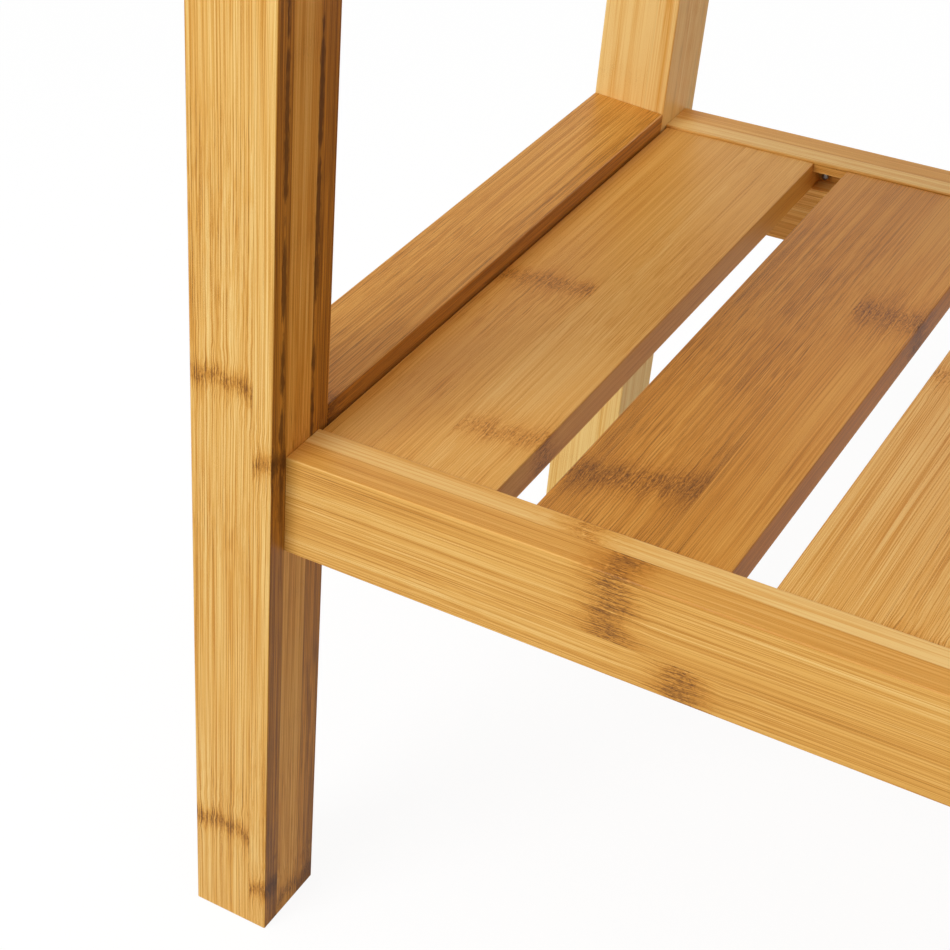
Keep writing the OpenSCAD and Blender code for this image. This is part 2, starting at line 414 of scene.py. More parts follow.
@dataclass(frozen=True)
class Figure:
    """What one board's bamboo looks like. Lengths are in millimetres, tones from -1 dark to 1 pale.

    A board is glued up from layers, each `layer` thick but for the first, which is less by `lead`,
    and each layer from two strips that meet at `seam`. A strip has a tone, and a knuckle's place and
    slant; knuckles are `reach` long and come again at `spacing`. `lined` is how strong the lines are,
    and `skin` how much of the cane's dark skin is left, past `skin_from` along the board. The layer
    tones move the side faces' tone layer by layer: partly the layers' own colour, and where they are
    dark, painted shade on the side faces.
    """

    seam: float
    layer: float
    tones: tuple[float, float]
    layer_tones_and_side_shade: Triple
    knuckles: tuple[float, float]
    reach: float
    seed: float
    lead: float = 0.0
    slants: tuple[float, float] = (0.1, 0.1)
    spacing: float = 290.0
    lined: float = 1.0
    skin: float = 0.0
    skin_from: float = 0.0

    def store(self, mesh: Mesh) -> None:
        """Writes the figure onto a mesh as the vectors that the bamboo finish reads."""
        give_vector(mesh, "strips", self.seam, self.layer, self.lead)
        give_vector(mesh, "tones", *self.tones, self.skin)
        give_vector(mesh, "layer_tones_and_side_shade", *self.layer_tones_and_side_shade)
        give_vector(mesh, "knuckles", *self.knuckles, self.spacing)
        give_vector(mesh, "slants", *self.slants, self.seed)
        give_vector(mesh, "habit", self.reach, self.lined, self.skin_from)

    def varied(self, number: int, spread: float = 0.1) -> "Figure":
        """Varies the figure in a fixed way, so that no two boards are the same.

        Args:
            number: The board's own number, which fixes every draw.
            spread: How far the tones may go.

        Returns:
            The board's figure.
        """
        draw = np.random.default_rng(FIRST_SEED + number)
        shift = draw.uniform(-spread, spread)
        tones = tuple(float(t + shift + draw.uniform(-spread, spread) / 2) for t in self.tones)
        return replace(
            self,
            seam=self.seam * float(draw.uniform(0.8, 1.2)),
            tones=tones,
            knuckles=tuple(float(k) for k in draw.uniform(0, self.spacing, 2)),
            slants=tuple(float(k) for k in draw.uniform(-0.2, 0.2, 2)),
            spacing=float(draw.uniform(210, 290)),
            seed=number * 1.37,
        )


@dataclass(frozen=True)
class GrainFrame:
    """The unit directions that a board's figure follows: along, across its face, and into it.

    origin is where all three distances are nought.
    """

    origin: Triple
    along: Triple
    across: Triple
    into: Triple
    width: float
    depth: float

    def store(self, mesh: Mesh) -> None:
        """Writes each point's distances along, across and into the board, in millimetres.

        The distances are the dot products of the point's offset from the origin with the three
        directions. The board's width and depth and its grain's direction go beside them.
        """
        points = np.empty(len(mesh.vertices) * 3)
        mesh.vertices.foreach_get("co", points)
        away = (points.reshape(-1, 3) - self.origin) / MM
        give_vector(mesh, "grain", *(away @ np.array(way) for way in (self.along, self.across, self.into)))
        give_vector(mesh, "section", self.width / MM, self.depth / MM, 0.0)
        give_vector(mesh, "grain_way", *self.along)
        give_vector(mesh, "depth_way", *self.into)

    def mirrored(self, axis: Axis) -> "GrainFrame":
        """Returns the frame for a board mirrored across the middle plane of an axis."""
        flip = np.ones(3)
        flip[axis.value] = -1
        turned_over = [tuple(flip * way) for way in (self.origin, self.along, self.across, self.into)]
        return GrainFrame(*turned_over, self.width, self.depth)


# Shader sheets ---------------------------------------------------------------------------------


@dataclass(frozen=True)
class Wire:
    """A value on a shader sheet, whose arithmetic puts down Math nodes."""

    sheet: "Sheet"
    socket: bpy.types.NodeSocket

    def __add__(self, other: Value) -> "Wire":
        """Returns the sum."""
        return self.sheet.math("ADD", self, other)

    def __sub__(self, other: Value) -> "Wire":
        """Returns the difference."""
        return self.sheet.math("SUBTRACT", self, other)

    def __rsub__(self, other: float) -> "Wire":
        """Returns a plain number less the value."""
        return self.sheet.math("SUBTRACT", other, self)

    def __mul__(self, other: Value) -> "Wire":
        """Returns the product."""
        return self.sheet.math("MULTIPLY", self, other)

    def __truediv__(self, other: Value) -> "Wire":
        """Returns the ratio."""
        return self.sheet.math("DIVIDE", self, other)

    def __abs__(self) -> "Wire":
        """Returns the size."""
        return self.sheet.math("ABSOLUTE", self)

    def least(self, other: Value) -> "Wire":
        """Returns the lesser of two."""
        return self.sheet.math("MINIMUM", self, other)

    def most(self, other: Value) -> "Wire":
        """Returns the greater of two."""
        return self.sheet.math("MAXIMUM", self, other)

    def towards(self, other: "Wire", share: "Wire") -> "Wire":
        """Returns the value at a share of the way to another."""
        return self + (other - self) * share

    def between(self, low: float, high: float) -> "Wire":
        """Returns 0 below low and 1 above high, with a smooth rise between."""
        feeds = {"Value": self, "From Min": low, "From Max": high}
        return self.sheet.wire("MapRange", feeds, "Result", interpolation_type="SMOOTHSTEP")

    def hump(self, reach: Value) -> "Wire":
        """Returns a bell curve: e to the minus (value over reach) squared."""
        ratio = self / reach
        return self.sheet.math("EXPONENT", ratio * ratio * -1.0)

    def hashed(self) -> "Wire":
        """Returns a fixed random number from 0 to 1."""
        return self.sheet.wire("TexWhiteNoise", {"W": self}, "Value", noise_dimensions="1D")

    def parts(self) -> list["Wire"]:
        """Returns the three values of a vector."""
        node = self.sheet.node("SeparateXYZ", {0: self})
        return [Wire(self.sheet, socket) for socket in node.outputs]


class Sheet:
    """Puts nodes into a shader tree, and lays them out in columns as they are made."""

    rows = 6
    step_across = 200.0
    step_down = 240.0

    def __init__(self, tree: Tree) -> None:
        """Starts on a tree of a material, a world or a group."""
        self.tree = tree

    def node(self, kind: str, feeds: dict[Union[str, int], object], **settings: object) -> bpy.types.Node:
        """Adds a node and feeds it.

        Args:
            kind: The end of the node's type name.
            feeds: Wires or plain values for its inputs, by name or number.
            **settings: Values for the node's own properties.

        Returns:
            The node.
        """
        column, row = divmod(len(self.tree.nodes), self.rows)
        fresh = self.tree.nodes.new(f"ShaderNode{kind}")
        fresh.location = (column * self.step_across, -row * self.step_down)
        for name, value in settings.items():
            setattr(fresh, name, value)
        for name, value in feeds.items():
            self.feed(fresh.inputs[name], value)
        return fresh

    def feed(self, socket: bpy.types.NodeSocket, value: object) -> None:
        """Links a wire to a socket, or sets the socket if the value is plain."""
        if isinstance(value, Wire):
            self.tree.links.new(value.socket, socket)
        else:
            socket.default_value = value

    def wire(self, kind: str, feeds: dict, gives: Union[str, int] = 0, **settings: object) -> Wire:
        """Adds a node as node() does, and returns the output that `gives` names."""
        return Wire(self, self.node(kind, feeds, **settings).outputs[gives])

    def math(self, how: str, *values: Value, clamp: bool = False) -> Wire:
        """Returns the outcome of a Math node on up to three values."""
        return self.wire("Math", dict(enumerate(values)), operation=how, use_clamp=clamp)

    def vector(self, *values: Value) -> Wire:
        """Returns a vector of three values."""
        return self.wire("CombineXYZ", dict(enumerate(values)))

    def noise(self, where: Wire, detail: float, rough: float = 0.5, pull: float = 0.0,
              scale: float = 1.0) -> Wire:
        """Reads a noise.

        Args:
            where: The place.
            detail: How many finer noises lie on the first.
            rough: How strong they are.
            pull: How far the noise pulls itself about.
            scale: Its waves in each unit of the place.

        Returns:
            A value from 0 to 1 about a half.
        """
        feeds = {"Vector": where, "Scale": scale, "Detail": detail, "Roughness": rough, "Distortion": pull}
        return self.wire("TexNoise", feeds, "Fac", noise_dimensions="3D")

    def on_object(self) -> Wire:
        """Returns the place on the object."""
        return self.wire("TexCoord", {}, "Object")

    def stretched(self, rates: Triple) -> Wire:
        """Returns the place on the object times a rate along each axis."""
        return self.wire("Mapping", {"Vector": self.on_object(), "Scale": rates}, vector_type="POINT")

    def ramp(self, value: Wire, stops: Sequence[tuple[float, Triple]]) -> Wire:
        """Turns a value into a colour.

        Args:
            value: The value.
            stops: The run of colours, each with its place from 0 to 1.

        Returns:
            The colour.
        """
        node = self.node("ValToRGB", {"Fac": value})
        marks = node.color_ramp.elements
        while len(marks) < len(stops):
            marks.new(0.5)
        for mark, (place, colour) in zip(marks, stops):
            mark.position = place
            mark.color = (*colour, 1.0)
        return Wire(self, node.outputs["Color"])

    def blend(self, share: Wire, first: Wire, second: Triple) -> Wire:
        """Returns a colour blended towards a plain one. A Mix node's colours go by number."""
        colour_a, colour_b, colour_out = 6, 7, 2
        feeds = {"Factor": share, colour_a: first, colour_b: (*second, 1.0)}
        return self.wire("Mix", feeds, colour_out, data_type="RGBA")

    def stored(self, name: str) -> Wire:
        """Returns a vector that the mesh carries under a name."""
        return self.wire("Attribute", {}, "Vector", attribute_name=name)

    def use(self, group: Tree, **values: Wire) -> dict[str, Wire]:
        """Places a group. An input that isn't given takes the mesh's vector of the same name.

        Args:
            group: The group.
            **values: Its inputs.

        Returns:
            Its outputs by name.
        """
        node = self.node("Group", {}, node_tree=group)
        for socket in node.inputs:
            self.feed(socket, values[socket.name] if socket.name in values else self.stored(socket.name))
        return {socket.name: Wire(self, socket) for socket in node.outputs}

    def surface(self, colour: Wire, rough: Wire, height: Wire, relief: tuple[float, float],
                plain: dict[str, float]) -> None:
        """Puts down the shader and the output.

        Args:
            colour: Its base colour.
            rough: Its roughness.
            height: Its relief.
            relief: The relief's strength, and its depth.
            plain: Values that are the same all over, set on the shader's own sockets.
        """
        strength, depth = relief
        bump = self.wire("Bump", {"Strength": strength, "Distance": depth, "Height": height}, "Normal")
        feeds = {"Base Color": colour, "Roughness": rough, "Normal": bump, **plain}
        self.node("OutputMaterial", {"Surface": self.wire("BsdfPrincipled", feeds, "BSDF")})


def cleared(holder: Union[Material, bpy.types.World]) -> Sheet:
    """Starts a sheet on a material or a world, with none of its own nodes left."""
    holder.use_nodes = True
    holder.node_tree.nodes.clear()
    return Sheet(holder.node_tree)


class GroupSheet(Sheet):
    """A sheet for a shader group, with named inputs and outputs."""

    def __init__(self, name: str, vectors: Sequence[str], floats: Sequence[str] = ()) -> None:
        """Starts a group.

        Args:
            name: The group's name.
            vectors: Names of the inputs that are vectors.
            floats: Names of the inputs that are plain values.
        """
        super().__init__(bpy.data.node_groups.new(name, "ShaderNodeTree"))
        for kind, labels in (("Vector", vectors), ("Float", floats)):
            for label in labels:
                self.tree.interface.new_socket(label, in_out="INPUT", socket_type=f"NodeSocket{kind}")
        entry = self.tree.nodes.new("NodeGroupInput")
        self.takes = {label: Wire(self, entry.outputs[label]) for label in (*vectors, *floats)}

    def give(self, **values: Wire) -> Tree:
        """Makes and links the group's outputs.

        Args:
            **values: Each output's name and its value.

        Returns:
            The finished group.
        """
        for label in values:
            self.tree.interface.new_socket(label, in_out="OUTPUT", socket_type="NodeSocketFloat")
        leave = self.tree.nodes.new("NodeGroupOutput")
        for label, value in values.items():
            self.feed(leave.inputs[label], value)
        return self.tree


# Effects that the bamboo finishes share --------------------------------------------------------
#
# Places are in millimetres along, across and into a board, and a noise's rates are its waves in each.
# The odd factors of a layer or a strip that is hashed only keep its draws apart from the others'.


def lamination_group() -> Tree:
    """Tells the strips of a glued-up board apart.

    The layer is the whole part of the depth over the layers' thickness. Each inner layer has its own
    seam, moved aside by a fixed random distance. A glue line is a narrow bell curve about a boundary
    or a seam. The cane's dark skin, left here and there on the layers' faces, is a streak beside each
    boundary. Its half-width is a slow noise along the grain less a limit, so it comes and goes, up to
    a most, and a fine noise tears its edges.

    Returns:
        The group. It gives which strip (0 or 1), which layer, a draw from 0 to 1 for that strip, the
        glue lines' mask, and the skin's.
    """
    seam_wander, glue_width, skin_most = 16.0, 0.16, 1.1
    sheet = GroupSheet("lamination", ("grain", "strips"), ("seed",))
    along, across, into = sheet.takes["grain"].parts()
    seam, thickness, lead = sheet.takes["strips"].parts()
    seed = sheet.takes["seed"]
    deep = (into + lead) / thickness
    layer = sheet.math("FLOOR", deep).most(0.0)
    jump = (layer * 17.3 + seed).hashed() - 0.5
    here = seam + jump * seam_wander * layer.least(1.0)
    strip = sheet.math("GREATER_THAN", across, here)
    boundary = sheet.math("ROUND", deep).most(1.0)
    beyond = (deep - boundary) * thickness
    glue = abs(beyond).least(abs(across - here)).hump(glue_width)
    draw = (strip * 7.7 + layer * 31.1 + seed).hashed()
    slow = sheet.noise(sheet.vector(along * 0.026, boundary, seed), 3.0, 0.6)
    torn = sheet.noise(sheet.vector(along * 0.22, into * 1.6, boundary), 2.0, 0.6)
    half = ((slow - 0.44) * 14.0).least(skin_most) + (torn - 0.5) * 2.6
    streak_middle = (boundary - 1.0) * 3.8 - 2.6
    skin = (half - abs(beyond - streak_middle)).between(-0.5, 0.6)
    return sheet.give(strip=strip, layer=layer, draw=draw, glue=glue, skin=skin)


def knuckle_group() -> Tree:
    """Lays bamboo's knuckles across a strip.

    A knuckle's middle is the strip's own place along the board, plus the slant times the distance
    across, plus a slow waver. The distance from it wraps round at the cane's knuckle spacing. The
    band and the wider stir are bell curves of that distance, the band's with a ragged reach. The
    strokes are a short-grained noise pulled about by itself, and the pits a finer one, kept only
    where it is high and inside the band.

    Returns:
        The group. It gives the band, the strokes, the pits, and the stir round them.
    """
    waver, stir_reach = 9.0, 16.0
    sheet = GroupSheet("knuckles", ("grain", "knuckles", "slants"), ("reach", "strip", "layer"))
    along, across, into = sheet.takes["grain"].parts()
    first, second, spacing = sheet.takes["knuckles"].parts()
    slant_a, slant_b, seed = sheet.takes["slants"].parts()
    strip, layer = sheet.takes["strip"], sheet.takes["layer"]
    shift = (layer * 5.1 + seed).hashed() * spacing * layer.least(1.0)
    own = first.towards(second, strip) + shift
    slow = sheet.noise(sheet.vector(seed, across * 0.16, into * 0.16), 1.0)
    middle = own + across * slant_a.towards(slant_b, strip) + (slow - 0.5) * waver
    turns = (along - middle) / spacing + 0.5
    away = (sheet.math("FRACT", turns) - 0.5) * spacing
    ragged = sheet.noise(sheet.vector(along * 0.1, across * 0.35, own), 2.0) + 0.5
    band = away.hump(sheet.takes["reach"] * ragged)
    places = sheet.vector(along * 0.3, across * 0.85, into * 0.85)
    strokes = sheet.noise(places, 2.0, 0.6, pull=1.7)
    fine = sheet.noise(places, 2.0, 0.6, pull=0.8, scale=1.9)
    pits = fine.between(0.52, 0.62) * band.between(0.5, 0.95)
    return sheet.give(band=band, strokes=strokes, pits=pits, stir=away.hump(stir_reach))


def fibre_group() -> Tree:
    """Draws bamboo's fibres along a strip.

    Each value is a noise stretched along the grain: fine fibres, dark lines and shorter dashes, which
    are noises kept where they are high, then broader streaks and a slow drift. The dashes show near a
    knuckle and in patches. Near a knuckle the pattern is pushed aside by a short waver. A strip's own
    draw moves the whole pattern, so that no two strips match.

    Returns:
        The group. It gives fine, lines, dashes, streaks and drift, each from 0 to 1.
    """
    strip_jump, bend_wide, push_wide = 400.0, 3.0, 2.0
    sheet = GroupSheet("fibres", ("grain",), ("stir", "draw"))
    along, across, into = sheet.takes["grain"].parts()
    stir = sheet.takes["stir"]
    jump = sheet.takes["draw"] * strip_jump
    bend = sheet.noise(sheet.vector(along * 0.006, across * 0.03, jump), 1.0) - 0.5
    push = sheet.noise(sheet.vector(along * 0.13, across * 0.2, jump), 1.0) - 0.5
    across = across + (bend * bend_wide + push * stir * push_wide) + jump

    def pulled(long: float, wide: float, detail: float, rough: float = 0.5) -> Wire:
        """Returns a noise with these rates, per millimetre, along and across the grain."""
        return sheet.noise(sheet.vector(along * long, across * wide, into * wide), detail, rough)

    patches = sheet.noise(sheet.vector(along * 0.012, jump, 3.0), 2.0).between(0.42, 0.62)
    return sheet.give(
        fine=pulled(0.02, 3.2, 1.0),
        lines=pulled(0.009, 1.9, 2.0, 0.6).between(0.44, 0.6),
        dashes=pulled(0.08, 2.3, 1.0).between(0.48, 0.6) * patches.most(stir),
        streaks=pulled(0.004, 0.45, 3.0, 0.62),
        drift=pulled(0.005, 0.06, 1.0),
    )


def face_group() -> Tree:
    """Tells a board's cut ends and side faces from its show faces, and dots the ends.

    A face is a cut end where its normal lies along the grain, and a side face where its normal lies
    neither along the grain nor into the board. The ends' dots, which are the cane's fibre bundles,
    are the middles of a cell pattern laid across the grain.

    Returns:
        The group. It gives the masks of the cut ends, the side faces and the dots.
    """
    bundles = 1.25
    sheet = GroupSheet("faces", ("grain", "grain_way", "depth_way"))
    _, across, into = sheet.takes["grain"].parts()
    normal = sheet.wire("NewGeometry", {}, "Normal")

    def facing(way: str) -> Wire:
        """Returns how far the surface faces a way, either way round, from 0 to 1."""
        feeds = {0: normal, 1: sheet.takes[way]}
        return abs(sheet.wire("VectorMath", feeds, "Value", operation="DOT_PRODUCT"))

    cut = facing("grain_way").between(0.75, 0.95)
    show = facing("depth_way").between(0.5, 0.85)
    cells = {"Vector": sheet.vector(across * bundles, into * bundles, 0.0), "Scale": 1.0}
    apart = sheet.wire("TexVoronoi", cells, "Distance", feature="F1", voronoi_dimensions="2D")
    dots = (1.0 - apart.between(0.12, 0.34)) * cut
    return sheet.give(cut=cut, side=sheet.math("SUBTRACT", 1.0 - cut, show, clamp=True), dots=dots)


def arris_group() -> Tree:
    """Finds a board's eased long edges.

    A point's distance from an edge is its distance from the nearer side face plus its distance from
    the nearer show face. The mask is high where that is small, broken up by a noise along the edge.

    Returns:
        The group. It gives how worn the edge is, from 0 to 1.
    """
    sheet = GroupSheet("arris", ("grain", "section"))
    along, across, into = sheet.takes["grain"].parts()
    width, depth, _ = sheet.takes["section"].parts()
    from_side = abs(across).least(abs(width - across))
    from_face = abs(into).least(abs(depth - into))
    near = 1.0 - (from_side + from_face).between(0.4, 1.5)
    broken = sheet.noise(sheet.vector(along * 0.12, across, into), 2.0)
    return sheet.give(worn=near * broken.between(0.3, 0.65))


@dataclass
class SharedEffects:
    """The shader groups, each built once."""

    lamination: Tree = field(default_factory=lamination_group)
    knuckles: Tree = field(default_factory=knuckle_group)
    fibres: Tree = field(default_factory=fibre_group)
    faces: Tree = field(default_factory=face_group)
    arris: Tree = field(default_factory=arris_group)


# Finishes --------------------------------------------------------------------------------------


def display(red: int, green: int, blue: int) -> Triple:
    """Returns a display colour, 0 to 255, as a linear one, 0 to 1."""
    share = np.array([red, green, blue]) / 255
    linear = np.where(share > 0.04045, ((share + 0.055) / 1.055) ** 2.4, share / 12.92)
    return tuple(float(value) for value in linear)


BAMBOO_TONES = (
    (0.0, display(92, 52, 8)),
    (0.25, display(146, 91, 22)),
    (0.5, display(206, 140, 48)),
    (0.75, display(232, 177, 87)),
    (1.0, display(248, 213, 138)),
)
GLUE_LINE = display(84, 48, 12)
SKIN = display(76, 37, 1)


@dataclass(frozen=True)
class BambooFinish:
    """Clear-lacquered bamboo. Each depth says how far that part of the figure moves the tone."""

    name: str
    fine: float = 0.34
    lines: float = 0.46
    dashes: float = 0.36
    streaks: float = 0.42
    drift: float = 0.3
    knuckle: float = 0.38
    strokes: float = 1.35
    pits: float = 0.3
    strip_spread: float = 0.1
    side_calm: float = 0.45
    cut: float = 0.18
    dots: float = 0.55
    worn: float = 0.02
    glue: float = 0.08
    skin_begins: tuple[float, float] = (-50.0, 30.0)
    roughness: float = 0.44
    rough_fibres: float = 0.18
    rough_cut: float = 0.15
    rough_worn: float = 0.08
    gloss: float = 0.36
    relief: tuple[float, float] = (0.14, 0.2 * MM)

    def material(self, effects: SharedEffects) -> Material:
        """Makes the finish's material.

        The tone is a sum: the strip's own tone, on a side face the layer's too, plus each noise
        about its middle times its depth, less the lines, dashes, knuckles and dots. On a side face the
        layer's tone is partly the layers' own colour and, where it is dark, painted shade. A run of
        colours turns it into bamboo, which the glue lines and the skin's remains then cross.

        Args:
            effects: The shared groups.

        Returns:
            The material.
        """
        made = bpy.data.materials.new(self.name)
        sheet = cleared(made)
        tone_a, tone_b, skin_left = sheet.stored("tones").parts()
        tone_0, tone_1, tone_2 = sheet.stored("layer_tones_and_side_shade").parts()
        reach, lined, skin_from = sheet.stored("habit").parts()
        boards = sheet.use(effects.lamination, seed=sheet.stored("slants").parts()[2])
        strip, layer, draw = boards["strip"], boards["layer"], boards["draw"]
        rings = sheet.use(effects.knuckles, reach=reach, strip=strip, layer=layer)
        fibres = sheet.use(effects.fibres, stir=rings["stir"], draw=draw)
        faces = sheet.use(effects.faces)
        worn = sheet.use(effects.arris)["worn"]

        # On a side face the layer tones add the layers' own colours, and their dark offsets are painted
        # shade.
        layer_tone_and_side_shade = tone_0.towards(tone_1, layer.least(1.0)) + (tone_2 - tone_1) * (layer - 1.0).most(0.0)
        tone = tone_a.towards(tone_b, strip) + layer_tone_and_side_shade * faces["side"]
        tone = tone + (draw - 0.5) * (self.strip_spread * 2)
        for name, depth in (("fine", self.fine), ("streaks", self.streaks), ("drift", self.drift)):
            tone = tone + (fibres[name] - 0.5) * (depth * 2)
        calm = 1.0 - faces["side"] * self.side_calm
        tone = tone - fibres["lines"] * lined * self.lines * calm - fibres["dashes"] * self.dashes * calm
        tone = tone - rings["band"] * ((rings["strokes"] - 0.5) * self.strokes + self.knuckle)
        tone = tone - rings["pits"] * self.pits - faces["cut"] * self.cut - faces["dots"] * self.dots
        tone = sheet.math("MULTIPLY_ADD", tone + worn * self.worn, 0.5, 0.5, clamp=True)
        begun = (sheet.stored("grain").parts()[0] - skin_from).between(*self.skin_begins)
        skin = boards["skin"] * faces["side"] * (skin_left * begun)
        colour = sheet.blend(skin, sheet.ramp(tone, BAMBOO_TONES), SKIN)
        colour = sheet.blend(boards["glue"] * self.glue, colour, GLUE_LINE)

        height = fibres["fine"] * 0.3 - fibres["lines"] * 0.2 + rings["band"] * (rings["strokes"] * 0.8)
        height = height - rings["pits"] * 0.6 - boards["glue"] * 0.3
        rough = (fibres["fine"] - 0.5) * self.rough_fibres + self.roughness
        rough = rough + faces["cut"] * self.rough_cut + worn * self.rough_worn
        sheet.surface(colour, rough, height, self.relief, {"Specular IOR Level": self.gloss})
        return made


@dataclass(frozen=True)
class DowelFinish:
    """Raw, unlacquered dowel wood. The rates are its grain's, along each axis."""

    name: str
    rates: Triple
    tan: Triple = display(196, 158, 104)
    pale: Triple = display(233, 208, 158)

    def material(self) -> Material:
        """Makes the finish: a noise of the place, stretched along the dowel, runs tan to pale."""
        made = bpy.data.materials.new(self.name)
        sheet = cleared(made)
        grain = sheet.noise(sheet.stretched(self.rates), 3.0, 0.6)
        colour = sheet.ramp(grain, ((0.3, self.tan), (0.7, self.pale)))
        sheet.surface(colour, sheet.math("MULTIPLY_ADD", grain, 0.2, 0.6), grain, (0.2, 0.1 * MM), {})
        return made


@dataclass(frozen=True)
class SteelFinish:
    """Zinc-plated steel: drawn marks along an axis, and faint clouding of the plating."""

    name: str
    pale: Triple = display(206, 208, 210)
    dull: Triple = display(150, 152, 156)
    roughness: float = 0.32
    drawn: Triple = (200.0, 4000.0, 4000.0)

    def material(self) -> Material:
        """Makes the finish: a cloudy noise sets the colour, and a stretched one the brushing."""
        made = bpy.data.materials.new(self.name)
        sheet = cleared(made)
        cloud = sheet.noise(sheet.on_object(), 4.0, 0.6, scale=380.0)
        marks = sheet.noise(sheet.stretched(self.drawn), 2.0, 0.7)
        colour = sheet.ramp(cloud, ((0.32, self.dull), (0.62, self.pale)))
        rough = sheet.math("MULTIPLY_ADD", marks, 0.22, self.roughness - 0.11)
        sheet.surface(colour, rough, marks, (0.15, 0.05 * MM), {"Metallic": 1.0})
        return made


@dataclass
class Finishes:
    """Every material of the bench, made once."""

    effects: SharedEffects = field(default_factory=SharedEffects)

    def __post_init__(self) -> None:
        """Makes the materials."""
        self.leg = self.bamboo("legs", lines=0.72, streaks=0.62, knuckle=0.5, gloss=0.24)
        self.rail = self.bamboo("rails", dashes=0.22, streaks=0.55, knuckle=0.5)
        self.end_board = self.bamboo("end_boards")
        self.slat = self.bamboo("slats", lines=0.34, dashes=0.3, knuckle=0.3, strokes=1.2)
        self.dowel_x = DowelFinish("raw_dowel_lengthwise", (60.0, 1500.0, 1500.0)).material()
        self.dowel_y = DowelFinish("raw_dowel_crosswise", (1500.0, 60.0, 1500.0)).material()
        self.steel = SteelFinish("plated_steel").material()
        # The brads' steel is darker than the plated steel: partly its own duller colour, partly painted
        # shade of the dim groove they sit in.
        shaded_brad = SteelFinish("shaded_brad_steel", display(150, 148, 144), display(96, 92, 88))
        self.brad = shaded_brad.material()

    def bamboo(self, boards: str, **depths: float) -> Material:
        """Makes the bamboo finish of one kind of board."""
        return BambooFinish(f"lacquered_bamboo_{boards}", **depths).material(self.effects)


# The bench's own planes, and its fastenings' sizes ---------------------------------------------


@dataclass(frozen=True)
class Plan:
    """Planes that every sub-assembly is set out from, in metres."""

    seat_top: float
    shelf_top: float
    rail_height: float
    foot_outer: float
    foot_inner: float
    lean: float
    leg_front: float
    leg_rear: float
    rail_front: float
    rail_rear: float

    @classmethod
    def measured(cls) -> "Plan":
        """Measures the planes off the CAD nodes' boxes.

        The legs' lean is the difference of the two rails' half-lengths over that of their heights,
        because each rail is longest at its bottom edge, where it meets the legs' inner faces.

        Returns:
            The plan.
        """
        leg_low, leg_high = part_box("leg_front_left")
        shelf_low, shelf_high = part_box("shelf_rail_front")
        seat_low, seat_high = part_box("seat_rail_front")
        lean = (shelf_high.x - seat_high.x) / (seat_low.z - shelf_low.z)
        return cls(
            seat_top=seat_high.z, shelf_top=shelf_high.z, rail_height=seat_high.z - seat_low.z,
            foot_outer=-leg_low.x, foot_inner=shelf_high.x + shelf_low.z * lean, lean=lean,
            leg_front=leg_low.y, leg_rear=leg_high.y, rail_front=shelf_low.y,
            rail_rear=shelf_high.y,
        )

    def inner(self, height: Union[float, Array]) -> Union[float, Array]:
        """Half the length between the legs' inner faces, at a height."""
        return self.foot_inner - height * self.lean

    @property
    def splay(self) -> float:
        """The legs' angle from upright, in radians."""
        return math.atan(self.lean)

    @property
    def leg_level(self) -> float:
        """A leg's width, taken level."""
        return self.foot_outer - self.foot_inner

    @property
    def leg_width(self) -> float:
        """A leg's width, square to its run."""
        return self.leg_level * math.cos(self.splay)

    @property
    def rail_middle(self) -> float:
        """Depth of the front rail's middle plane."""
        return (self.rail_front + self.rail_rear) / 2

    def top(self, tier: Tier) -> float:
        """Height of a tier's rails' top edge."""
        return self.shelf_top if tier is Tier.SHELF else self.seat_top


def leftmost(node: str) -> tuple[float, float]:
    """Returns a node's lowest X, and its middle height."""
    low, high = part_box(node)
    return low.x, (low.z + high.z) / 2


def half_height(node: str) -> float:
    """Returns half a node's height: the radius, where it is a level row of bars."""
    low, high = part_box(node)
    return (high.z - low.z) / 2


